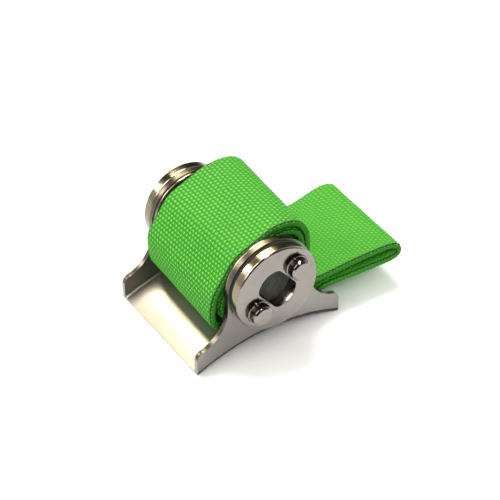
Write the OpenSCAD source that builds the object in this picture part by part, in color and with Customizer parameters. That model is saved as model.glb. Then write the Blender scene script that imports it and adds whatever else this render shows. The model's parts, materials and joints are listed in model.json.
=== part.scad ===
// Windlass tourniquet: a pressed saddle frame carries a drum that winds a webbing strap.
// X runs from the free foot to the strap loop, Y along the drum, Z up from the surface it stands on.
// The origin is at the middle of the whole object's footprint, on that surface.

/* [Webbing] */
// Width of the webbing
strap_w = 25; // [20:1:25]
// Thickness of one layer of webbing
strap_t = 1.5; // [1.3:0.1:1.5]
// Layers of webbing wound on the drum
wound_layers = 3.2; // [2.9:0.1:3.2]
// How far the outer layers stand loose on the side away from the loop
wound_slack = 1.1; // [0:0.1:1.1]
// Distance from the drum axis to the end of the folded loop
loop_reach = 33.8; // [32:0.2:38]
// Rise of the loop over its length
loop_rise = 0.6; // [0:0.1:2]
// Distance between the middles of the loop's two layers
layer_gap = 2.2; // [2.2:0.1:3]

/* [Frame] */
// Thickness of the pressed sheet
sheet_t = 1.0; // [0.8:0.1:1.0]
// Gap between the two ears
channel_w = 26.8; // [26.8:0.1:27]
// Distance from the drum axis to each foot tip
foot_reach = 16.9; // [16.6:0.1:17.4]
// Radius of the rounded foot tips of the ears
tip_r = 2.0; // [1.8:0.1:2.2]
// Radius of the flare from each ear to its feet
flare_r = 8; // [7:0.5:8]
// Height of the centre of that flare
flare_z = 13; // [12.5:0.1:13]
// Height of the arch under the saddle
arch_rise = 2.9; // [2.6:0.1:3.0]
// Outer radius of the ear around the drum
ear_r = 9.6; // [9.6:0.1:10.2]
// Height of the drum axis
axis_h = 15.7; // [15.7:0.1:16.5]

/* [Drum] */
// Radius of the turning discs
disc_r = 9.3; // [9.2:0.1:9.6]
// Thickness of the turning discs
disc_t = 2.4; // [2.0:0.1:2.4]
// Radius of the cross rods inside the drum
rod_r = 2.4; // [2.3:0.05:2.4]
// Radius of the studs turned on the rod ends
stud_r = 2.2; // [2.0:0.05:2.2]
// Distance from the drum axis to each rod's axis
rod_offset = 5.66; // [5.6:0.02:5.7]
// Angle of the rods about the drum axis, in degrees above the X axis
rod_angle = 39; // [30:1:45]
// How far the studs stand out of the discs
rod_proud = 1.9; // [1:0.1:2.5]
// Radius of the core's round sides
core_r = 3.95; // [3.8:0.05:4]
// Distance between the core's two flats
core_flats = 6.1; // [5.8:0.1:6.2]
// Depth of the key socket, from the disc face to the core's end
socket_depth = 1.9; // [1:0.1:2]

/* [Hidden] */
$fn = 96;
eps = 0.01;
// Running gap between the drum and the frame, on the radius and at each face
run_gap = 0.05;
drum_x = (foot_reach - loop_reach) / 2;

// Saddle arch, about an axis along Y
arch_half = 15;
arch_r = (arch_half * arch_half + arch_rise * arch_rise) / (2 * arch_rise);
arch_z = arch_rise - arch_r;
saddle_r = arch_r + sheet_t;
bend_r = 1.4;
flare_x = ear_r + flare_r;
tip_x = foot_reach - tip_r;
tip_z = flare_z - sqrt(pow(flare_r + tip_r, 2) - pow(flare_x - tip_x, 2));
// Where the flare meets the tip's rounding
meet = [flare_x, flare_z] + ([tip_x, tip_z] - [flare_x, flare_z]) * flare_r / (flare_r + tip_r);

// Ear and drum faces, measured from the middle plane along Y
ear_in = channel_w / 2;
ear_out = ear_in + sheet_t;
washer_in = ear_out + run_gap;
washer_t = 0.3;
disc_in = washer_in + washer_t;
disc_out = disc_in + disc_t;
rod_end = disc_out + rod_proud;
collar_t = 0.6;
collar_out = ear_in - 0.1;
collar_in = collar_out - collar_t;
core_end = disc_out - socket_depth;

// Radii at the bearing
hub_r = rod_offset + rod_r + 0.34;
bush_in_r = hub_r + run_gap;
bush_t = 0.4;
ear_bore_r = bush_in_r + bush_t;
washer_r = disc_r - 0.15;
collar_r = 9.4;

// Chamfers on the turned parts
disc_chamfer = 0.3;
stud_chamfer = 0.4;
collar_chamfer = 0.15;

// Core slot that holds the inner end of the webbing
slot_t = strap_t + 0.2;
slot_w = strap_w + 0.5;
// Length of the webbing's inner end, inside that slot
inner_end_l = 2 * core_r - 0.6;

// Strap route in the XZ plane, as centre lines from the drum axis at X = 0
half_t = strap_t / 2;
// Gap left between two lengths of the webbing that are separate nodes
node_gap = 0.1;
fold_r = layer_gap / 2;
loop_root_x = 16;
fold_x = loop_reach - fold_r - half_t;
lower_root_z = 6.1;
upper_root_z = lower_root_z + layer_gap;
// The upper layer leaves the roll downwards through these points, then sweeps out about a centre
exit_start = [[12.0, 14.6], [12.15, 13.4]];
exit_centre = [15.2, 11.3];
exit_r = 3;
// The lower layer leaves the saddle here, and rises to the loop through these points
bend_root = [11, 4.4];
lower_rise = [[12.6, 5.1], [14.2, 5.75]];
anchor_x = 6.2;
anchor_tail_x = 2.8;
anchor_flat_x = 8.6;
anchor_rise = [9.9, 4.0];
anchor_lift = 0.03;
anchor_half_w = 2;
anchor_plate_t = 0.8;
rivet_y = 8.5;
rivet_r = 0.9;
rivet_head_r = 1.7;
rivet_head_t = 0.6;
stitch_rows = [3.3, 3.9];
stitch_l = 1.6;
stitch_w = 0.3;
stitch_t = 0.25;
stitch_pitch = 2.4;
stitch_reach = 10.8;

steel = [0.72, 0.70, 0.67];
fibre = [0.12, 0.12, 0.11];
brass = [0.70, 0.58, 0.33];
webbing = [0.35, 0.74, 0.26];
thread = [0.28, 0.62, 0.21];

// ---- helpers -------------------------------------------------------------

// Height of the saddle's upper face at x
function saddle_top(x) = arch_z + sqrt(saddle_r * saddle_r - x * x);

// A point on the upper face of the saddle, lifted by d along the face's normal
function over_saddle(x, d) =
    let (a = asin(x / saddle_r)) [(saddle_r + d) * sin(a), arch_z + (saddle_r + d) * cos(a)];

// Outline of the wound webbing at normal angle a, d outside the rods and the core
function wound_point(a, d) =
    abs(cos(a)) * rod_offset + rod_r > core_r
        ? [sign(cos(a)) * rod_offset + (rod_r + d) * cos(a), (rod_r + d) * sin(a)]
        : [(core_r + d) * cos(a), (core_r + d) * sin(a)];

// Extra looseness of the outer layers, on the side away from the loop
function slack_at(a) = wound_slack * max(0, cos((a - 160) * 0.9));

// Unit normal of a centre line at point i
function normal_at(p, i) =
    let (
        a = p[max(i - 1, 0)],
        b = p[min(i + 1, len(p) - 1)],
        d = b - a
    )
    [-d[1], d[0]] / norm(d);

// Outline of a strip of webbing of even thickness along a centre line
function strip(p) = concat(
    [for (i = [0 : len(p) - 1]) p[i] + half_t * normal_at(p, i)],
    [for (i = [len(p) - 1 : -1 : 0]) p[i] - half_t * normal_at(p, i)]
);

// Points of an arc, from angle a0 to a1
function arc(c, r, a0, a1, n = 10) =
    [for (i = [0 : n]) c + r * [cos(a0 + (a1 - a0) * i / n), sin(a0 + (a1 - a0) * i / n)]];

// Place in the XZ plane, about the drum axis, as an extrusion of width w along Y
module across(w) {
    translate([drum_x, 0, 0]) rotate([90, 0, 0]) linear_extrude(height = w, center = true) children();
}

// Turn a solid made along +Z into one along the drum, on the near (-1) or far (+1) side
module on_drum(side) {
    translate([drum_x, 0, axis_h]) rotate([-90 * side, 0, 0]) children();
}

// Revolved disc with small chamfers at both rims, from z0 to z1
module turned(r, z0, z1, c) {
    rotate_extrude()
        polygon([[0, z0], [r - c, z0], [r, z0 + c], [r, z1 - c], [r - c, z1], [0, z1]]);
}

// Holes through a drum plate for both rods and the core. The drum turns its near side over,
// so the rod angle changes sign there.
module drum_holes(side, z0, z1) {
    rotate([0, 0, -side * rod_angle]) {
        for (s = [-1, 1])
            translate([s * rod_offset, 0, z0 - eps]) cylinder(r = rod_r, h = z1 - z0 + 2 * eps);
        translate([0, 0, z0 - eps]) linear_extrude(height = z1 - z0 + 2 * eps) core_section();
    }
}

module core_section() {
    intersection() {
        circle(r = core_r);
        square([core_flats, 3 * core_r], center = true);
    }
}

// ---- frame ---------------------------------------------------------------

// Side outline of ears and feet, in the XZ plane
module frame_outline() {
    difference() {
        union() {
            translate([0, axis_h]) circle(r = ear_r);
            translate([-ear_r, 0]) square([2 * ear_r, axis_h]);
            difference() {
                translate([-meet[0], 0]) square([2 * meet[0], flare_z]);
                for (s = [-1, 1])
                    translate([s * flare_x, flare_z]) circle(r = flare_r);
            }
            translate([-foot_reach, 0]) square([2 * foot_reach, tip_z]);
            for (s = [-1, 1])
                translate([s * tip_x, tip_z]) circle(r = tip_r);
        }
        translate([0, axis_h]) circle(r = ear_bore_r);
    }
}

// Channel section of the pressing, as radius from the arch axis against Y
module channel_section() {
    top = saddle_r + 40;
    difference() {
        union() {
            translate([arch_r + bend_r, -ear_out]) square([top - arch_r, 2 * ear_out]);
            translate([arch_r, -ear_out + bend_r]) square([2 * bend_r, 2 * (ear_out - bend_r)]);
            for (s = [-1, 1])
                translate([arch_r + bend_r, s * (ear_out - bend_r)]) circle(r = bend_r);
        }
        inner = bend_r - sheet_t;
        translate([saddle_r + inner, -ear_in]) square([top, 2 * ear_in]);
        translate([saddle_r, -ear_in + inner]) square([2 * inner, 2 * (ear_in - inner)]);
        for (s = [-1, 1])
            translate([saddle_r + inner, s * (ear_in - inner)]) circle(r = inner);
    }
}

module saddle_frame() {
    color(steel)
        difference() {
            intersection() {
                across(2 * ear_out + 1) frame_outline();
                translate([drum_x, 0, arch_z]) rotate([90, 0, 0]) rotate_extrude($fn = 180)
                    channel_section();
            }
            rivet_holes(rivet_r);
        }
}

module bush(side) {
    color(brass)
        on_drum(side)
            difference() {
                translate([0, 0, ear_in]) cylinder(r = ear_bore_r, h = sheet_t);
                translate([0, 0, ear_in - 1]) cylinder(r = bush_in_r, h = sheet_t + 2);
            }
}

// ---- drum ----------------------------------------------------------------

module disc(side) {
    color(steel)
        on_drum(side)
            difference() {
                union() {
                    turned(disc_r, disc_in, disc_out, disc_chamfer);
                    translate([0, 0, collar_out]) cylinder(r = hub_r, h = disc_in - collar_out + eps);
                }
                drum_holes(side, collar_out, disc_out);
            }
}

module friction_washer(side) {
    color(fibre)
        on_drum(side)
            difference() {
                translate([0, 0, washer_in]) cylinder(r = washer_r, h = washer_t);
                translate([0, 0, washer_in - 1]) cylinder(r = hub_r, h = washer_t + 2);
            }
}

module collar(side) {
    color(steel)
        on_drum(side)
            difference() {
                turned(collar_r, collar_in, collar_out, collar_chamfer);
                drum_holes(side, collar_in, collar_out);
            }
}

// A cross rod, with a shouldered stud at each end
module rod(s) {
    color(steel)
        translate([drum_x, 0, axis_h]) rotate([0, -rod_angle, 0]) translate([s * rod_offset, 0, 0])
            rotate([90, 0, 0]) {
                cylinder(r = rod_r, h = 2 * disc_out, center = true);
                turned(stud_r, -rod_end, rod_end, stud_chamfer);
            }
}

module drum_core() {
    color(fibre)
        translate([drum_x, 0, axis_h]) rotate([0, -rod_angle, 0])
            difference() {
                rotate([90, 0, 0]) linear_extrude(height = 2 * core_end, center = true)
                    core_section();
                cube([slot_t, slot_w, 3 * core_r], center = true);
            }
}

// ---- webbing -------------------------------------------------------------

module strap_inner_end() {
    color(webbing)
        translate([drum_x, 0, axis_h]) rotate([0, -rod_angle, 0])
            cube([strap_t, strap_w, inner_end_l], center = true);
}

module strap_roll() {
    step = 5;
    full = wound_layers * strap_t;
    color(webbing)
        across(strap_w)
            translate([0, axis_h]) rotate(rod_angle)
                difference() {
                    polygon([for (a = [0 : step : 359]) wound_point(a, full + slack_at(a))]);
                    polygon([for (a = [0 : step : 359]) wound_point(a, run_gap)]);
                }
}

// Upper layer: down the side of the roll, then out along the loop
function upper_exit() = concat(
    exit_start,
    arc(exit_centre, exit_r, 184, 262, 8),
    [[loop_root_x, upper_root_z]]
);

// Lower layer: up from the saddle to the root of the loop
function lower_exit() = concat(
    [bend_root + node_gap * [1, 0.2]],
    lower_rise,
    [[loop_root_x, lower_root_z]]
);

module strap_bend() {
    color(webbing)
        across(strap_w) {
            polygon(strip(upper_exit()));
            polygon(strip(lower_exit()));
        }
}

// The folded loop: out along the lower layer, round the fold and back along the upper layer
module strap_loop() {
    start = loop_root_x + node_gap;
    n = 6;
    run = [for (i = [0 : n]) [start + (fold_x - start) * i / n, loop_rise * sin(90 * i / n)]];
    color(webbing)
        across(strap_w)
            polygon(strip(concat(
                [for (i = [0 : n]) run[i] + [0, lower_root_z]],
                arc([fold_x, lower_root_z + loop_rise + fold_r], fold_r, -72, 72, 9),
                [for (i = [n : -1 : 0]) run[i] + [0, upper_root_z]]
            )));
}

// The end held on the saddle, and its rise to the bend
module strap_anchor_end() {
    n = 5;
    color(webbing)
        difference() {
            across(strap_w)
                polygon(strip(concat(
                    [for (i = [0 : n])
                        over_saddle(anchor_tail_x + (anchor_flat_x - anchor_tail_x) * i / n,
                                    half_t + anchor_lift)],
                    [anchor_rise, bend_root]
                )));
            rivet_holes(rivet_r);
        }
}

// ---- anchor --------------------------------------------------------------

// Places its children on the saddle at the anchor, with +Z along the saddle's normal
module at_anchor(x = anchor_x) {
    translate([drum_x, 0, arch_z]) rotate([0, asin(x / saddle_r), 0])
        translate([0, 0, saddle_r]) children();
}

module rivet_holes(r) {
    at_anchor()
        for (s = [-1, 1])
            translate([0, s * rivet_y, -4]) cylinder(r = r, h = 8, $fn = 48);
}

anchor_plate_z = strap_t + anchor_lift + 0.08;

module anchor_plate() {
    color(steel)
        difference() {
            at_anchor()
                translate([-anchor_half_w, -strap_w / 2 + 1, anchor_plate_z])
                    cube([2 * anchor_half_w, strap_w - 2, anchor_plate_t]);
            rivet_holes(rivet_r);
        }
}

module anchor_rivets() {
    top = anchor_plate_z + anchor_plate_t;
    color(steel)
        at_anchor()
            for (s = [-1, 1])
                translate([0, s * rivet_y, 0])
                    rotate_extrude($fn = 48)
                        polygon([
                            [0, -sheet_t - rivet_head_t], [rivet_head_r - 0.4, -sheet_t - rivet_head_t],
                            [rivet_head_r, -sheet_t - 0.02], [rivet_r, -sheet_t - 0.02],
                            [rivet_r, top], [rivet_head_r, top],
                            [rivet_head_r - 0.5, top + rivet_head_t], [0, top + rivet_head_t]
                        ]);
}

// Two rows of stitching across the cut end of the webbing, beyond the anchor plate
module anchor_stitching() {
    color(thread)
        for (x = stitch_rows)
            at_anchor(x)
                for (y = [-stitch_reach : stitch_pitch : stitch_reach + eps])
                    translate([-stitch_w / 2, y - stitch_l / 2, strap_t + anchor_lift + eps])
                        cube([stitch_w, stitch_l, stitch_t]);
}

// ---- nodes ---------------------------------------------------------------

saddle_frame();
disc(-1);  // near_disc
disc(1);  // far_disc
friction_washer(-1);  // near_friction_washer
friction_washer(1);  // far_friction_washer
bush(-1);  // near_bush
bush(1);  // far_bush
collar(-1);  // near_collar
collar(1);  // far_collar
rod(1);  // upper_rod
rod(-1);  // lower_rod
drum_core();
strap_inner_end();
strap_roll();
strap_bend();
strap_loop();
strap_anchor_end();
anchor_plate();
anchor_rivets();
anchor_stitching();
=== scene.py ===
import json
import math

import bmesh
import bpy
import numpy as np
from mathutils import Matrix, Vector

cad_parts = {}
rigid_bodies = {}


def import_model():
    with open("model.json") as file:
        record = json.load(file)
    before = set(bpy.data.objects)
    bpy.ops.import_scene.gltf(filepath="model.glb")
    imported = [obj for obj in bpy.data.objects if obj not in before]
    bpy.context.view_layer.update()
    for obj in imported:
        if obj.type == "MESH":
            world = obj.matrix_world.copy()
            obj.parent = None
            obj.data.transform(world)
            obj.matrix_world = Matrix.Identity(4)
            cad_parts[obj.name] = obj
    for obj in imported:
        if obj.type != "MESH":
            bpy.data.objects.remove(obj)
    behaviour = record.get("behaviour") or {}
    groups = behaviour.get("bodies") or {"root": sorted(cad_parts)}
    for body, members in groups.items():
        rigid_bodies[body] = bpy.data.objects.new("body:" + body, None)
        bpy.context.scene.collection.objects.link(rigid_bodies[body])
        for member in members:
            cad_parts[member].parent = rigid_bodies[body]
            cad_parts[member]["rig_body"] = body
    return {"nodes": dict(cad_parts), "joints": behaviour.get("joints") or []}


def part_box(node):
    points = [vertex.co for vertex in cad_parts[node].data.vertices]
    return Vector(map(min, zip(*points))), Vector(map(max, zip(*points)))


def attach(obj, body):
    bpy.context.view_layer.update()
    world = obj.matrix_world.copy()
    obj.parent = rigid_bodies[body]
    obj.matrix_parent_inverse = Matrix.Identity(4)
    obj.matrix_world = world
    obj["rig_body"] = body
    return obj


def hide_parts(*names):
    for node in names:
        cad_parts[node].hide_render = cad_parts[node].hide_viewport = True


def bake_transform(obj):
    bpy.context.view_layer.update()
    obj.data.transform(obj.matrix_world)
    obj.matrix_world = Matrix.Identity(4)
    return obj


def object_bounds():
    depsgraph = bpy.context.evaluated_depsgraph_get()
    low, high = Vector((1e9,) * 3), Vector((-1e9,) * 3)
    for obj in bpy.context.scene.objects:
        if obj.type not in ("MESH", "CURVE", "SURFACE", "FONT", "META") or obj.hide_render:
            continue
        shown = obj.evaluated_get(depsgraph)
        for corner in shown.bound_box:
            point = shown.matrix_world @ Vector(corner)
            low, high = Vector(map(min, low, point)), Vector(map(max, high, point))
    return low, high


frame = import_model()
cad_low, cad_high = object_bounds()

MM = 0.001
DEG = math.pi / 180


# ---- camera ------------------------------------------------------------------

AZIMUTH, ELEVATION, ROLL = -33.57 * DEG, 38.65 * DEG, -0.68 * DEG
DISTANCE = 279.37 * MM
TARGET = Vector((-3.34, 0.0, 11.65)) * MM
FOCAL, SENSOR = 99.9, 36


def make_camera():
    """Looks at TARGET from AZIMUTH, counted from -Y, and ELEVATION, and leans by ROLL."""
    back = Vector((math.sin(AZIMUTH) * math.cos(ELEVATION),
                   -math.cos(AZIMUTH) * math.cos(ELEVATION),
                   math.sin(ELEVATION)))
    right = Vector((math.cos(AZIMUTH), math.sin(AZIMUTH), 0))
    up = back.cross(right)
    right, up = (math.cos(ROLL) * right + math.sin(ROLL) * up,
                 math.cos(ROLL) * up - math.sin(ROLL) * right)
    data = bpy.data.cameras.new("camera")
    data.lens, data.sensor_width = FOCAL, SENSOR
    data.clip_start = 0.01
    camera = bpy.data.objects.new("camera", data)
    place = Matrix((right, up, back)).transposed().to_4x4()
    place.translation = TARGET + DISTANCE * back
    camera.matrix_world = place
    bpy.context.scene.collection.objects.link(camera)
    bpy.context.scene.camera = camera


make_camera()
bpy.context.scene.view_settings.view_transform = "Standard"


# ---- node helpers ------------------------------------------------------------

class Graph:
    """Short names for building a node tree. All but node() return an output socket."""

    def __init__(self, tree):
        self.tree = tree
        tree.nodes.clear()

    def node(self, kind, inputs=None, **settings):
        n = self.tree.nodes.new(kind)
        for key, value in settings.items():
            setattr(n, key, value)
        for key, value in (inputs or {}).items():
            if isinstance(value, bpy.types.NodeSocket):
                self.tree.links.new(value, n.inputs[key])
            else:
                n.inputs[key].default_value = value
        return n

    def math(self, operation, a, b=0.0):
        return self.node("ShaderNodeMath", {0: a, 1: b}, operation=operation).outputs[0]

    def noise(self, vector, scale, detail=3.0, roughness=0.5):
        inputs = {"Vector": vector, "Scale": scale, "Detail": detail, "Roughness": roughness}
        return self.node("ShaderNodeTexNoise", inputs).outputs[0]

    def ramp(self, value, low, high, out_low, out_high):
        inputs = {"Value": value, "From Min": low, "From Max": high, "To Min": out_low, "To Max": out_high}
        return self.node("ShaderNodeMapRange", inputs).outputs[0]

    def mix(self, factor, a, b):
        n = self.node("ShaderNodeMix", {0: factor}, data_type="RGBA")
        for socket, value in ((n.inputs[6], a), (n.inputs[7], b)):
            if isinstance(value, bpy.types.NodeSocket):
                self.tree.links.new(value, socket)
            else:
                socket.default_value = value
        return n.outputs[2]

    def bump(self, height, distance, strength=1.0):
        inputs = {"Height": height, "Distance": distance, "Strength": strength}
        return self.node("ShaderNodeBump", inputs).outputs[0]

    def stretch(self, vector, scale):
        return self.node("ShaderNodeMapping", {"Vector": vector, "Scale": scale}).outputs[0]


def material(name, fill, **constants):
    """A Principled material. fill(graph) returns the sockets to link; constants are set on the shader."""
    mat = bpy.data.materials.new(name)
    mat.use_nodes = True
    g = Graph(mat.node_tree)
    shader = g.node("ShaderNodeBsdfPrincipled", constants)
    for key, value in fill(g).items():
        g.tree.links.new(value, shader.inputs[key])
    g.node("ShaderNodeOutputMaterial", {"Surface": shader.outputs[0]})
    return mat


def object_coords(g):
    return g.node("ShaderNodeTexCoord").outputs["Object"]


# ---- metals and moulded parts --------------------------------------------------

PIT_COLOUR = (0.13, 0.11, 0.09, 1)


def metal(name, tone, dark, rough_low, rough_high, scratch):
    """Plated metal: worn in clouds from tone to dark, with fine scratches both ways and small pits."""
    def fill(g):
        co = object_coords(g)
        cloud = g.noise(co, 140, 4.0, 0.6)
        grain = g.noise(co, 2600, 3.0, 0.6)
        lines_x = g.noise(g.stretch(co, (900, 60, 900)), 1.0, 2.0)
        lines_z = g.noise(g.stretch(co, (90, 1400, 90)), 1.0, 2.0)
        lines = g.math("ADD", lines_x, lines_z)
        worn = g.ramp(cloud, 0.42, 0.72, 0.0, 1.0)
        pits = g.ramp(g.noise(co, 900, 2.0, 0.7), 0.68, 0.76, 0.0, 1.0)
        colour = g.mix(g.math("MULTIPLY", worn, 0.55), tone, dark)
        colour = g.mix(g.math("MULTIPLY", pits, 0.5), colour, PIT_COLOUR)
        rough = g.ramp(cloud, 0.3, 0.7, rough_low, rough_high)
        rough = g.math("ADD", rough, g.math("MULTIPLY", pits, 0.2))
        height = g.math("ADD", g.math("MULTIPLY", lines, 0.5), g.math("MULTIPLY", grain, 0.35))
        height = g.math("SUBTRACT", height, g.math("MULTIPLY", pits, 0.8))
        return {"Base Color": colour, "Roughness": rough, "Normal": g.bump(height, scratch)}
    return material(name, fill, Metallic=1.0)


NICKEL = metal("bright_nickel", (0.235, 0.219, 0.206, 1), (0.20, 0.185, 0.17, 1), 0.12, 0.22, 0.000003)
SATIN_NICKEL = metal("satin_nickel", (0.245, 0.230, 0.216, 1), (0.215, 0.20, 0.185, 1), 0.33, 0.40, 0.000003)
# Painted reflection: the rims of the discs and collars are drawn dark olive-brown, standing in for the dark
# surroundings and webbing that they reflect.
PAINTED_RIM_REFLECTION = metal("nickel_painted_rim_reflection", (0.20, 0.178, 0.125, 1), (0.085, 0.075, 0.045, 1), 0.12, 0.22, 0.000009)
# Painted dark reflection: the ears' sheet edges are drawn near black, so that only a thin highlight shows on
# them.
PAINTED_DARK_EAR_EDGE = metal("ear_edge_painted_dark", (0.09, 0.078, 0.068, 1), (0.045, 0.038, 0.032, 1), 0.22, 0.32, 0.000006)
# Painted shade: the downward-facing outside of the bends between saddle and ears is drawn near black, for the
# shade under the saddle that it faces.
PAINTED_BEND_SHADE = metal("bend_painted_shade", (0.040, 0.037, 0.040, 1), (0.022, 0.020, 0.022, 1), 0.32, 0.45, 0.000006)
# Painted reflection: the rods' stud walls are drawn dark, standing in for the dark surroundings that they
# reflect.
PAINTED_STUD_REFLECTION = metal("stud_side_painted_reflection", (0.10, 0.09, 0.075, 1), (0.05, 0.045, 0.035, 1), 0.10, 0.2, 0.000006)
BRASS = metal("bush_brass", (0.62, 0.47, 0.22, 1), (0.45, 0.33, 0.16, 1), 0.22, 0.38, 0.000005)


def moulded(name, tone, light, rough):
    """Moulded rubber or fibre: mottled, with a fine grit."""
    def fill(g):
        co = object_coords(g)
        mottle = g.noise(co, 420, 5.0, 0.65)
        grit = g.noise(co, 2400, 3.0, 0.6)
        colour = g.mix(g.ramp(mottle, 0.4, 0.68, 0.0, 1.0), tone, light)
        height = g.math("ADD", mottle, g.math("MULTIPLY", grit, 0.5))
        return {"Base Color": colour,
                "Roughness": g.ramp(mottle, 0.3, 0.7, rough - 0.1, rough + 0.1),
                "Normal": g.bump(height, 0.00009)}
    return material(name, fill, **{"Specular IOR Level": 0.35})


RUBBER = moulded("core_rubber", (0.016, 0.018, 0.013, 1), (0.045, 0.048, 0.036, 1), 0.7)
FIBRE = moulded("washer_fibre", (0.012, 0.012, 0.011, 1), (0.03, 0.03, 0.027, 1), 0.8)


# ---- webbing material ------------------------------------------------------------

# All in mm
PICK = 0.83       # between weft picks, along the webbing
END = 0.48        # between warp ends, across it
SHADOW_LINE_AT = 12.3    # from the middle of the webbing to the painted shadow line beside its selvage


def woven(name, lit_crown, shaded_valley, painted_shadow_line, sheen, calm_from):
    """Plain weave: floats stand up in a checkerboard of PICK by END, from the mesh's own lengthwise and
    crosswise millimetres. The colour carries painted light: a painted highlight on the floats' crowns,
    painted shade in the valleys between them, and a painted shadow line where the face turns into the
    selvage. The colours draw together from calm_from on, where the webbing is free."""
    def fill(g):
        uv = g.node("ShaderNodeUVMap", uv_map="weave").outputs[0]
        xyz = g.node("ShaderNodeSeparateXYZ", {0: uv})
        wander = g.math("MULTIPLY", g.math("SUBTRACT", g.noise(uv, 0.45, 2.0), 0.5), 0.4)
        along = g.math("ADD", xyz.outputs[0], wander)
        across = xyz.outputs[1]
        a = g.math("COSINE", g.math("MULTIPLY", along, math.pi / PICK))
        a = g.math("MULTIPLY", a, g.math("POWER", g.math("ABSOLUTE", a), 0.6))
        b = g.math("COSINE", g.math("MULTIPLY", across, math.pi / END))
        float_ = g.math("MULTIPLY", a, b)
        warp = g.math("MAXIMUM", float_, 0.0)
        weft = g.math("MAXIMUM", g.math("MULTIPLY", float_, -1.0), 0.0)
        height = g.math("ADD", warp, g.math("MULTIPLY", weft, 0.28))
        yarn = g.noise(g.stretch(uv, (1.2, 9.0, 1)), 1.0, 3.0, 0.6)
        fuzz = g.noise(g.stretch(uv, (5.0, 6.0, 1)), 1.0, 3.0, 0.7)
        height = g.math("ADD", height, g.math("MULTIPLY", yarn, 0.3))
        patch = g.noise(uv, 0.16, 3.0, 0.6)
        # Painted light: the colour follows the weave's height, with a painted highlight on the floats' crowns
        # and painted shade in the valleys between them.
        tone = g.math("ADD", g.math("MULTIPLY", height, 0.66), g.math("MULTIPLY", fuzz, 0.24))
        colour = g.mix(g.ramp(tone, 0.2, 0.72, 0.0, 1.0), shaded_valley, lit_crown)
        colour = g.mix(g.ramp(patch, 0.35, 0.7, 0.0, 0.16), colour, shaded_valley)
        middle = [0.40 * c + 0.60 * v for c, v in zip(lit_crown, shaded_valley)]
        colour = g.mix(g.ramp(along, calm_from, calm_from + 10, 0.0, 0.42), colour, middle)
        # The selvage is drawn darker, towards the valley colour, and a near-black painted shadow line runs
        # where the face turns into it.
        loops = g.math("MULTIPLY", g.math("COSINE", g.math("MULTIPLY", along, 2 * math.pi / PICK)), 0.09)
        edge = g.math("ADD", g.math("ABSOLUTE", across), loops)
        selvage = g.ramp(edge, SHADOW_LINE_AT, SHADOW_LINE_AT + 0.1, 0.0, 0.45)
        colour = g.mix(selvage, colour, shaded_valley)
        gap = g.math("ABSOLUTE", g.math("SUBTRACT", edge, SHADOW_LINE_AT))
        colour = g.mix(g.ramp(gap, 0.12, 0.25, 1.0, 0.0), colour, painted_shadow_line)
        return {"Base Color": colour,
                "Roughness": g.ramp(fuzz, 0.3, 0.7, 0.62, 0.82),
                "Normal": g.bump(height, 0.00016, 0.9)}
    return material(name, fill, **{"Sheen Weight": sheen, "Sheen Roughness": 0.4,
                                   "Sheen Tint": (0.55, 1.0, 0.45, 1), "Specular IOR Level": 0.2})


PLY_TURN = 22.0    # radians that the thread's plies turn in each mm


def twisted(name, light, dark):
    """Thread of two plies, from the mesh's own lengthwise millimetres and angle round the thread."""
    def fill(g):
        uv = g.node("ShaderNodeUVMap", uv_map="weave").outputs[0]
        xyz = g.node("ShaderNodeSeparateXYZ", {0: uv})
        turn = g.math("ADD", g.math("MULTIPLY", xyz.outputs[0], PLY_TURN), xyz.outputs[1])
        ply = g.math("ADD", g.math("MULTIPLY", g.math("SINE", turn), 0.5), 0.5)
        colour = g.mix(ply, dark, light)
        return {"Base Color": colour,
                "Roughness": g.ramp(ply, 0, 1, 0.7, 0.5),
                "Normal": g.bump(ply, 0.00003)}
    return material(name, fill, **{"Sheen Weight": 0.2})


THREAD = twisted("twisted_thread", (0.10, 0.50, 0.055, 1), (0.04, 0.27, 0.02, 1))


# ---- the frame's own numbers -------------------------------------------------------

def box_mm(node):
    low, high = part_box(node)
    return low / MM, high / MM


axis_joint = next(j for j in frame["joints"] if j["name"] == "drum_turn")
AXIS_X, AXIS_Z = axis_joint["pos_m"][0] / MM, axis_joint["pos_m"][2] / MM
rod_low, rod_high = box_mm("upper_rod")
ROD_R = (rod_high.x - rod_low.x) / 2
rod_dx, rod_dz = (rod_high.x + rod_low.x) / 2 - AXIS_X, (rod_high.z + rod_low.z) / 2 - AXIS_Z
ROD_OFF = math.hypot(rod_dx, rod_dz)
ROD_ANGLE = math.atan2(rod_dz, rod_dx)
CORE_R = 3.95             # radius of the core's round sides
CORE_HALF_FLAT = 3.05     # half of the distance between its flats
HALF_W = 12.5             # half of the webbing's width
ARCH_RISE, ARCH_HALF = 2.9, 15.0
ARCH_R = (ARCH_HALF ** 2 + ARCH_RISE ** 2) / (2 * ARCH_RISE)
SADDLE_R = ARCH_R + 1.0   # radius of the saddle's upper side, which is its sheet's thickness above the arch
SHEET_IN = 13.35          # the ears' inner faces, from the middle plane
RIM_FROM = 9              # the rims of the discs and collars lie further than this from the drum's axis
STUD_FROM = 16            # the rods' studs lie further than this from the middle plane
EDGE_FROM = 4             # the ears' edges stand higher than this


# ---- metal pieces: the CAD solids with their edges rounded --------------------------

WELD = 0.002      # mm between vertices that are one
FLAT = 0.4        # degrees between faces that are one
CREASE = 38       # degrees past which an edge is shaded sharp


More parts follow.
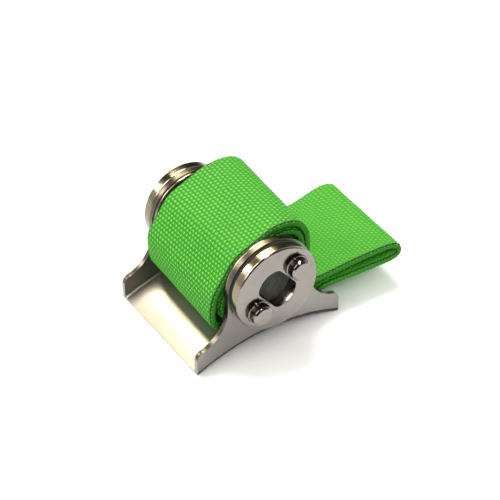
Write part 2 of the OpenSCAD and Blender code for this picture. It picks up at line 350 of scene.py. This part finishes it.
def refined(node, mat, width, segments=2, angle=28, finishes=(), shape=None):
    """A copy of a CAD node whose sharp edges are rounded by width, in mm. It stands for the node. Each of
    finishes is a material and a test of a face's centre and normal. shape(bm) works on the copy first."""
    bm = bmesh.new()
    bm.from_mesh(frame["nodes"][node].data)
    bmesh.ops.remove_doubles(bm, verts=bm.verts, dist=WELD * MM)
    bmesh.ops.dissolve_limit(bm, angle_limit=FLAT * DEG, verts=bm.verts, edges=bm.edges)
    if shape:
        shape(bm)
    sharp = [e for e in bm.edges if len(e.link_faces) == 2 and e.calc_face_angle(0) > angle * DEG]
    bmesh.ops.bevel(bm, geom=sharp, offset=width * MM, segments=segments, profile=0.5,
                    affect="EDGES", clamp_overlap=True)
    mesh = bpy.data.meshes.new(node + "_finished")
    bm.to_mesh(mesh)
    bm.free()
    mesh.materials.append(mat)
    for index, (finish, test) in enumerate(finishes, 1):
        mesh.materials.append(finish)
        for face in mesh.polygons:
            if test(face.center / MM, face.normal):
                face.material_index = index
    mesh.shade_smooth()
    mesh.set_sharp_from_angle(angle=CREASE * DEG)
    obj = bpy.data.objects.new(node + "_finished", mesh)
    bpy.context.scene.collection.objects.link(obj)
    weighted = obj.modifiers.new("even_faces", "WEIGHTED_NORMAL")
    weighted.keep_sharp = True
    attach(obj, frame["nodes"][node]["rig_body"])
    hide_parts(node)


def is_rim(normal):
    """Whether a face stands square to the drum's discs."""
    return abs(normal.y) < 0.6


def from_axis(p):
    return math.hypot(p.x - AXIS_X, p.z - AXIS_Z)


DRAFT, DRAFT_DEPTH = 0.7, 1.7


def drafted_socket(bm):
    """Opens the round sides of the key socket towards its mouth, by DRAFT over DRAFT_DEPTH, and fills the
    disc's face again around the wider mouth."""
    face = max(abs(v.co.y) for v in bm.verts)
    side = 1 if sum(v.co.y for v in bm.verts) > 0 else -1
    bmesh.ops.bisect_plane(bm, geom=bm.verts[:] + bm.edges[:] + bm.faces[:],
                           plane_co=(0, side * (face - DRAFT_DEPTH * MM), 0), plane_no=(0, 1, 0))
    corner = math.sqrt(CORE_R ** 2 - CORE_HALF_FLAT ** 2)
    for v in bm.verts:
        x, z = v.co.x / MM - AXIS_X, v.co.z / MM - AXIS_Z
        r = math.hypot(x, z)
        if abs(v.co.y) > face - 0.01 * MM and abs(r - CORE_R) < 0.15:
            off = abs(z * math.cos(ROD_ANGLE) - x * math.sin(ROD_ANGLE))
            grow = DRAFT * min(max((off - corner) / (CORE_R - corner), 0), 1) ** 0.5 / r
            v.co.x += x * grow * MM
            v.co.z += z * grow * MM
    flat = [f for f in bm.faces if min(abs(v.co.y) for v in f.verts) > face - 0.01 * MM]
    bmesh.ops.delete(bm, geom=flat, context="FACES_ONLY")
    rim = [e for e in bm.edges if e.is_boundary]
    bmesh.ops.delete(bm, geom=[e for e in bm.edges if e.is_wire], context="EDGES")
    bmesh.ops.triangle_fill(bm, edges=[e for e in rim if e.is_valid], use_beauty=True, use_dissolve=False,
                            normal=(0, side, 0))
    bmesh.ops.recalc_face_normals(bm, faces=bm.faces)


def under_bend(p, normal):
    """Whether a face is on the outside of the bend between the saddle and an ear, and looks down."""
    return normal.z < -0.08 and 0.1 < abs(normal.y) < 0.999 and abs(p.y) > SHEET_IN - 1


# Painted light on the metal: dark painted reflections on the ears' edges, on the rims of discs and collars
# and on the studs' walls, and painted shade on the undersides of the saddle's bends.
EAR_EDGE = (PAINTED_DARK_EAR_EDGE, lambda p, n: is_rim(n) and abs(p.y) > SHEET_IN and p.z > EDGE_FROM)
RIM_REFLECTION_FINISH = (PAINTED_RIM_REFLECTION, lambda p, n: is_rim(n) and from_axis(p) > RIM_FROM)
STUD_WALL = (PAINTED_STUD_REFLECTION, lambda p, n: is_rim(n) and abs(p.y) > STUD_FROM)

refined("saddle_frame", SATIN_NICKEL, 0.16, 3, finishes=(EAR_EDGE, (PAINTED_BEND_SHADE, under_bend)))
for name in ("near_disc", "far_disc"):
    refined(name, NICKEL, 0.14, 3, finishes=(RIM_REFLECTION_FINISH,), shape=drafted_socket)
for name in ("near_collar", "far_collar"):
    refined(name, NICKEL, 0.08, finishes=(RIM_REFLECTION_FINISH,))
for name in ("upper_rod", "lower_rod"):
    refined(name, NICKEL, 0.12, 3, finishes=(STUD_WALL,))
refined("anchor_plate", NICKEL, 0.15)
refined("anchor_rivets", NICKEL, 0.1)
for name in ("near_bush", "far_bush"):
    refined(name, BRASS, 0.05)
for name in ("near_friction_washer", "far_friction_washer"):
    refined(name, FIBRE, 0.05)
refined("drum_core", RUBBER, 0.12)


# ---- the webbing's route -------------------------------------------------------------

# Everything here is in mm, in the XZ plane, from a point under the drum axis.
TURNS = 1029          # degrees of winding, from the core slot to where the webbing leaves the roll
ROLL_T = 1.36         # thickness of a wound layer
FREE_T = 1.45         # thickness of the free webbing
SEAT = 0.06           # gap under the first layer
STEP_UP = 0.14        # share of a turn over which the winding climbs to its next layer
HIDDEN_LENGTH = 78.0  # length of the inner turns, which don't show
FREE_LENGTH = 78      # length from where the webbing leaves the roll to its anchored end
SADDLE_GAP = 0.78     # from the saddle to the middle of the anchored end

# How far the outermost layer stands off a tight winding at its near and far edge, against the direction
# that it faces
SLACK = [(0, 0.0, 0.6), (15, 0.1, 1.5), (30, 0.28, 2.3), (48, 0.68, 2.25), (64, 0.86, 1.6),
         (82, 0.8, 0.9), (100, 0.95, 0.7), (118, 1.35, 1.0), (140, 1.7, 1.3), (158, 1.4, 0.9),
         (174, 1.2, 0.5), (190, 1.45, 0.35), (207, 2.0, 1.0), (222, 1.85, 1.15), (245, 1.2, 0.8),
         (270, 0.6, 0.5), (310, 0.3, 0.3), (340, 0.1, 0.3)]


def smooth(x):
    x = np.clip(x, 0, 1)
    return x * x * (3 - 2 * x)


def soften(values, sigma):
    """Gaussian smoothing along the first axis, with its ends held."""
    reach = int(3 * sigma) + 1
    k = np.exp(-0.5 * (np.arange(-reach, reach + 1) / sigma) ** 2)
    k /= k.sum()
    padded = np.concatenate([2 * values[:1] - values[reach:0:-1], values,
                             2 * values[-1:] - values[-2:-reach - 2:-1]])
    columns = padded.reshape(len(padded), -1).T
    return np.stack([np.convolve(c, k, mode="valid") for c in columns], -1).reshape(values.shape)


def slack_at(direction, edge):
    knots = np.array(SLACK + [(360,) + SLACK[0][1:]], float)
    grid = np.interp(np.arange(-90, 450) % 360, knots[:, 0], knots[:, edge])
    return np.interp(direction % 360, np.arange(360), soften(grid, 9)[90:450])


def wound(phi, d):
    """A point d outside the rods and core, where the winding faces phi degrees."""
    a = phi * DEG - ROD_ANGLE
    c, s = np.cos(a), np.sin(a)
    on_rod = np.abs(c) * ROD_OFF + ROD_R > CORE_R
    x = np.where(on_rod, np.sign(c) * ROD_OFF + (ROD_R + d) * c, (CORE_R + d) * c)
    z = np.where(on_rod, (ROD_R + d) * s, (CORE_R + d) * s)
    ca, sa = math.cos(ROD_ANGLE), math.sin(ROD_ANGLE)
    return np.stack([x * ca - z * sa, AXIS_Z + x * sa + z * ca], -1)


def roll_route(edge):
    """The wound webbing. The inner turns take only a share of the outermost one's slack."""
    phi = np.arange(TURNS, -0.1, -1.5)
    u = (TURNS - phi) / 360
    level = np.floor(u) + smooth((u % 1 - (1 - STEP_UP)) / STEP_UP)
    share = np.interp(u, [0, 0.8, 1.2, 1.8, 2.15, 3], [0.0, 0.12, 0.42, 0.5, 1.0, 1.0])
    d = SEAT + ROLL_T * (level + 0.5) + slack_at(phi, edge) * share
    return wound(phi, d)


def saddle_route():
    """The end that lies on the saddle under the anchor plate, as far as the CAD solid goes."""
    tail = box_mm("strap_anchor_end")[0].x - AXIS_X
    xs = np.array([8.6, 7.2, 5.8, 4.4, tail + 0.03])
    a = np.arcsin(xs / SADDLE_R)
    r = SADDLE_R + SADDLE_GAP
    return np.stack([r * np.sin(a), ARCH_RISE - ARCH_R + r * np.cos(a)], -1)


# The way out of the roll, round the loop and back to the saddle, at the webbing's near and far edge
NEAR_OUT = [(10.3, 17.0), (10.3, 14.0), (10.32, 12.0), (10.6, 10.2), (11.6, 8.95), (13.2, 8.6), (16.0, 8.68),
            (19.7, 8.92), (23.5, 9.08), (27.4, 9.12), (30.4, 9.18), (32.3, 8.95), (33.1, 8.05), (32.4, 7.1),
            (30.4, 6.85), (27.0, 6.85), (23.5, 6.85), (19.7, 6.85), (16.0, 6.85), (14.2, 6.7), (12.9, 6.05),
            (11.9, 5.05), (11.0, 4.42), (9.9, 4.0)]
FAR_OUT = [(10.3, 16.5), (10.3, 13.0), (10.32, 10.6), (10.7, 8.6), (11.7, 7.3), (13.2, 6.85), (16.0, 6.75),
           (20.0, 6.78), (24.1, 7.05), (27.0, 7.8), (30.3, 8.85), (33.0, 9.15), (34.3, 8.35), (33.6, 7.25),
           (30.8, 6.5), (27.0, 5.8), (23.5, 5.5), (19.7, 5.4), (16.0, 5.4), (14.2, 5.25), (12.9, 4.95),
           (11.9, 4.65), (11.0, 4.42), (9.9, 4.0)]
# How far the near edge is from the middle plane at those points. The far edge keeps the webbing's width.
NEAR_Y = [12.5, 12.5, 12.5, 12.5, 12.5, 12.5, 12.5, 12.55, 12.6, 12.7, 12.9, 13.2, 13.5, 13.75,
          13.85, 13.7, 13.5, 13.3, 13.1, 12.95, 12.8, 12.65, 12.5, 12.5]
SWAY = 0.22           # how far the wound turns wander sideways


def dense(points, n=12):
    """Catmull-Rom curve through points, n steps to each."""
    p = np.array(points, float)
    p = np.concatenate([2 * p[:1] - p[1:2], p, 2 * p[-1:] - p[-2:-1]])
    t = (np.arange(n) / n)[:, None]
    parts = [0.5 * (2 * b + (c - a) * t + (2 * a - 5 * b + 4 * c - d) * t * t
                    + (3 * b - a - 3 * c + d) * t ** 3)
             for a, b, c, d in zip(p, p[1:], p[2:], p[3:])]
    return np.concatenate(parts + [p[-2:-1]])


def edges():
    """The near and far edges of the webbing, from the core slot to its anchored end, as matching points."""
    saddle = saddle_route()
    n = len(roll_route(1))
    sway = SWAY * np.sin(np.arange(n) / n * 17.0 + 0.6) * smooth((n - np.arange(n)) / 60)
    far_y = [2 * HALF_W - y for y in NEAR_Y]
    both = []
    for edge, route, ys, side in ((1, NEAR_OUT, NEAR_Y, -1), (2, FAR_OUT, far_y, 1)):
        roll = roll_route(edge)
        tail = np.concatenate([route, saddle])
        tail_y = np.array(ys + [HALF_W] * len(saddle))
        xz = np.concatenate([roll[:-1], dense(np.concatenate([roll[-1:], tail]))])
        y = np.concatenate([side * HALF_W + sway[:-1],
                            side * dense(np.concatenate([[HALF_W], tail_y])[:, None])[:, 0]])
        both.append(np.stack([xz[:, 0] + AXIS_X, y, xz[:, 1]], -1))
    return both


def stations():
    """Resamples both edges at even steps of the weave, coarser in the hidden inner turns."""
    near, far = edges()
    middle = (near + far) / 2
    run = np.concatenate([[0], np.cumsum(np.linalg.norm(np.diff(middle, axis=0), axis=1))])
    fine = np.arange(0, run[-1], 0.1)
    near, far = (soften(np.stack([np.interp(fine, run, e[:, k]) for k in range(3)], -1), 4.5)
                 for e in (near, far))
    step = PICK / 2
    at = np.concatenate([np.arange(0, HIDDEN_LENGTH, 3 * step),
                         np.arange(math.ceil(HIDDEN_LENGTH / step) * step, fine[-1], step)])
    pick = [np.stack([np.interp(at, fine, e[:, k]) for k in range(3)], -1) for e in (near, far)]
    return at, pick[0], pick[1], fine[-1]


# ---- the webbing's mesh ------------------------------------------------------------------

ROUND = 0.42          # how far the rounded selvage reaches past the last warp end
RELIEF = 0.05         # height of the weave's floats in the mesh
SCALLOP = 0.09        # how far each weft turn stands out of the selvage
EDGE_YARN = 0.14      # from the last warp end to where the selvage starts to turn
# The selvage's outline from face to back: share of ROUND outwards, share of half the thickness, mm around
SELVAGE = [(0.0, 0.86, 0.14), (0.62, 0.8, 0.4), (1.0, 0.38, 0.73), (1.0, -0.38, 0.73), (0.62, -0.8, 0.4),
           (0.0, -0.86, 0.14)]
TUCK = 0.5            # half-widths over which the outer layer comes in to its tight near selvage
PUFF = 0.04           # how far the webbing bulges here and there
CLEAR = 0.02          # the webbing is thinner than its layer by this, so that layers don't touch


def band(name, rings, uvs):
    """The webbing's object, from rings of points along it. Each entry of rings is one line of points that
    runs the webbing's length, and uvs holds its lengthwise and crosswise millimetres."""
    n, ring = len(rings[0]), len(rings)
    verts = np.stack(rings, 1).reshape(-1, 3) * MM
    uv = np.stack(uvs, 1).reshape(-1, 2)
    i, j = np.meshgrid(np.arange(n - 1), np.arange(ring), indexing="ij")
    k = (j + 1) % ring
    quads = np.stack([i * ring + j, i * ring + k, (i + 1) * ring + k, (i + 1) * ring + j], -1).reshape(-1, 4)
    faces = [tuple(int(v) for v in q) for q in quads]
    faces.append(tuple(range(ring - 1, -1, -1)))
    faces.append(tuple(range((n - 1) * ring, n * ring)))
    mesh = bpy.data.meshes.new(name)
    mesh.from_pydata([tuple(v) for v in verts], [], faces)
    layer = mesh.uv_layers.new(name="weave")
    loops = np.empty(len(mesh.loops), int)
    mesh.loops.foreach_get("vertex_index", loops)
    layer.data.foreach_set("uv", uv[loops].astype(np.float32).ravel())
    bm = bmesh.new()
    bm.from_mesh(mesh)
    bmesh.ops.recalc_face_normals(bm, faces=bm.faces)
    bm.to_mesh(mesh)
    bm.free()
    mesh.shade_smooth()
    mesh.materials.append(webbing)
    obj = bpy.data.objects.new(name, mesh)
    bpy.context.scene.collection.objects.link(obj)
    return obj


def ribbon(name, at, near, far, thick, relief, tuck):
    """A woven band between two edges, with values of thick, relief and tuck for each point along it. Its
    lines run over the face, round the far selvage, over the back and round the near selvage. Where tuck is 1
    only the near selvage follows the near edge: the rest of the width stands as far out as the far edge."""
    count = int(round((HALF_W - ROUND) * 2 / END))
    columns = (np.arange(count + 1) - count / 2) * END
    share = columns / HALF_W
    middle, half = (near + far) / 2, (far - near) / 2
    t_near, t_far = np.gradient(near, at, axis=0), np.gradient(far, at, axis=0)
    across = half / np.linalg.norm(half, axis=1)[:, None]
    bowed = half * (1, 0, 1)

    def place(w):
        stood = 1 - 2 * (1 - min((w + 1) / TUCK, 1)) ** 2
        return middle + half * w + bowed * ((stood - w) * tuck)[:, None]

    n, rings, uvs = len(at), [], []

    def normal(w):
        t = t_near * (1 - w) / 2 + t_far * (1 + w) / 2
        v = np.cross(t, half)
        return v / np.linalg.norm(v, axis=1)[:, None]

    s = at / PICK
    for side in (1, -1):
        order = range(count + 1) if side == 1 else range(count, -1, -1)
        for j in order:
            w = share[j]
            weave = np.cos(math.pi * s) * math.cos(math.pi * (j - count / 2)) * relief * RELIEF * side
            puff = PUFF * np.sin(at * 0.21 + j * 0.13) * np.cos(j * 0.19 + at * 0.05)
            up = side * (thick / 2 + weave) + puff * (relief > 0)
            rings.append(place(w) + normal(w) * up[:, None])
            uvs.append(np.stack([at, np.full(n, columns[j])], -1))
        end = share[count] if side == 1 else share[0]
        for out, lift, run in SELVAGE[::side]:
            turns = SCALLOP * np.cos(2 * math.pi * s) * (relief > 0) * out
            rings.append(place(end) + across * (side * (EDGE_YARN + ROUND * out + turns))[:, None]
                         + normal(end) * (lift * thick / 2)[:, None])
            uvs.append(np.stack([at, np.full(n, side * (columns[-1] + run))], -1))
    return band(name, rings, uvs)


at, near, far, total = stations()
left_roll = total - FREE_LENGTH
# The crown colour is a painted highlight, the valley colour painted shade, and the seam colour a painted
# shadow line.
webbing = woven("woven_webbing", lit_crown=(0.098, 0.575, 0.03, 1), shaded_valley=(0.012, 0.135, 0.004, 1),
                painted_shadow_line=(0.002, 0.022, 0.002, 1), sheen=0.03, calm_from=left_roll)
# The webbing thickens over the first 12 mm past the roll, and is tucked from 24 mm before it leaves the
# roll to 4 mm past that
leaving = smooth((at - left_roll) / 12)
thick = ROLL_T - CLEAR + (FREE_T - ROLL_T) * leaving
tuck = smooth((at - (left_roll - 24)) / 8) * smooth((left_roll + 4 - at) / 9)
strap = ribbon("webbing_strap", at, near, far, thick, (at >= HIDDEN_LENGTH).astype(float), tuck)
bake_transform(strap)
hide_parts("strap_roll", "strap_bend", "strap_loop", "strap_anchor_end")


INNER_HALF = 3.65     # half of the inner end's length


def inner_end():
    """The webbing's inner end, across the drum through the core's slot."""
    along = np.arange(-INNER_HALF, INNER_HALF + 0.01, PICK / 2)
    direction = np.array([-math.sin(ROD_ANGLE), 0, math.cos(ROD_ANGLE)])
    centre = np.array([AXIS_X, 0, AXIS_Z])
    line = centre + along[:, None] * direction
    side = np.array([0, HALF_W, 0])
    even = np.ones(len(along))
    obj = ribbon("webbing_inner_end", along, line - side, line + side, ROLL_T * even, even, 0 * even)
    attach(obj, "drum")
    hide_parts("strap_inner_end")
    return obj


inner_end()


# ---- anchor stitching -------------------------------------------------------------------

STITCH_ROWS = (3.3, 3.9)            # mm from the drum's axis to each row, along X
STITCHES, STITCH_PITCH = 10, 2.4    # stitches in a row, and mm from one to the next
STITCH_TOP = 1.5                    # mm from the saddle to the webbing's upper side


def stitches():
    """Two rows of lock stitches across the anchored end. Each is a thread that dips into the webbing at both
    ends."""
    mesh = bpy.data.meshes.new("anchor_stitches")
    verts, faces, uvs = [], [], []
    sides, steps, thread_r, length, dip = 8, 10, 0.16, 1.7, 0.34
    for row in STITCH_ROWS:
        a = math.asin(row / SADDLE_R)
        up = np.array([math.sin(a), 0, math.cos(a)])
        out = np.array([math.cos(a), 0, -math.sin(a)])
        base = np.array([AXIS_X + SADDLE_R * math.sin(a), 0, ARCH_RISE - ARCH_R + SADDLE_R * math.cos(a)])
        for m in range(STITCHES):
            y0 = (m - (STITCHES - 1) / 2) * STITCH_PITCH
            first = len(verts)
            for i in range(steps + 1):
                f = i / steps
                lift = STITCH_TOP + dip / 2 - dip * (2 * f - 1) ** 4
                c = base + up * lift + np.array([0, y0 + (f - 0.5) * length, 0])
                taper = 1 - 0.35 * (2 * f - 1) ** 6
                for k in range(sides):
                    q = 2 * math.pi * k / sides
                    verts.append(c + thread_r * taper * (math.cos(q) * out + math.sin(q) * up))
                    uvs.append((f * length, q))
            for i in range(steps):
                for k in range(sides):
                    p, r = first + i * sides + k, first + i * sides + (k + 1) % sides
                    faces.append((p, r, r + sides, p + sides))
            faces.append(tuple(first + k for k in range(sides - 1, -1, -1)))
            faces.append(tuple(first + steps * sides + k for k in range(sides)))
    mesh.from_pydata([tuple(v * MM) for v in np.array(verts)], [], faces)
    layer = mesh.uv_layers.new(name="weave")
    for loop in mesh.loops:
        layer.data[loop.index].uv = uvs[loop.vertex_index]
    mesh.shade_smooth()
    mesh.materials.append(THREAD)
    obj = bpy.data.objects.new("anchor_stitches", mesh)
    bpy.context.scene.collection.objects.link(obj)
    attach(obj, "frame")
    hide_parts("anchor_stitching")


stitches()


# ---- studio ------------------------------------------------------------------------------

def floor():
    """A sheet of pale paper just under the object."""
    mesh = bpy.data.meshes.new("floor")
    half = 3.0
    corners = [(-half, -half, 0), (half, -half, 0), (half, half, 0), (-half, half, 0)]
    mesh.from_pydata(corners, [], [(0, 1, 2, 3)])
    obj = bpy.data.objects.new("floor", mesh)
    bpy.context.scene.collection.objects.link(obj)
    obj.location.z = cad_low.z - 0.02 * MM

    def fill(g):
        co = object_coords(g)
        tone = g.mix(g.noise(co, 60, 2.0), (0.93, 0.93, 0.93, 1), (0.95, 0.95, 0.95, 1))
        return {"Base Color": tone}
    mesh.materials.append(material("pale_paper", fill, Roughness=0.9))


def area(name, direction, distance, size, power, colour=(1, 1, 1), mirrored=True, lights=True):
    """A softbox that faces the object from a direction given as azimuth and elevation, in degrees. One that
    isn't mirrored lights only cloth and floor, and one that lights nothing shows only in the metal."""
    az, el = direction[0] * DEG, direction[1] * DEG
    away = Vector((math.sin(az) * math.cos(el), -math.cos(az) * math.cos(el), math.sin(el)))
    data = bpy.data.lights.new(name, "AREA")
    data.shape, data.size, data.size_y = "RECTANGLE", size[0], size[1]
    data.energy, data.color = power, colour
    light = bpy.data.objects.new(name, data)
    light.location = TARGET + away * distance
    light.rotation_euler = away.to_track_quat("Z", "Y").to_euler()
    light.visible_glossy = mirrored
    light.visible_diffuse = lights
    bpy.context.scene.collection.objects.link(light)


SKY = (1.15, 1.12, 1.06, 1)
# Directions that are left dark: a direction, then the cosines from it where the dark starts and is full
DARK = (((0.0, -1.0, 0.0), 0.25, 0.52), ((0.27, 0.79, 0.55), 0.68, 0.84))


def world():
    """A dim even sky with soft dark patches."""
    w = bpy.data.worlds.new("studio")
    bpy.context.scene.world = w
    w.use_nodes = True
    g = Graph(w.node_tree)
    co = g.node("ShaderNodeTexCoord").outputs["Generated"]
    light = 1.0
    for towards, start, full in DARK:
        cosine = g.node("ShaderNodeVectorMath", {0: co, 1: towards}, operation="DOT_PRODUCT").outputs["Value"]
        light = g.math("MULTIPLY", g.ramp(cosine, start, full, 1.0, 0.06), light)
    background = g.node("ShaderNodeBackground", {"Color": SKY, "Strength": light})
    g.node("ShaderNodeOutputWorld", {"Surface": background.outputs[0]})


floor()
world()
area("key", (167, 66), 0.9, (0.38, 0.38), 8.4)
area("key_sheen", (169, 62), 0.85, (0.42, 0.46), 17.0, (1.0, 0.90, 0.58), lights=False)
area("back_left", (-139, 29), 0.9, (0.15, 0.26), 2.6, (1.0, 0.93, 0.78))
area("socket_side", (-85, 46), 0.9, (0.7, 0.7), 14.0, (1.0, 0.96, 0.84), lights=False)
area("glint", (6, 49), 0.9, (0.12, 0.12), 1.2, (1.0, 0.96, 0.86))
area("front_fill", (-10, 48), 1.1, (1.0, 0.8), 5.5, mirrored=False)
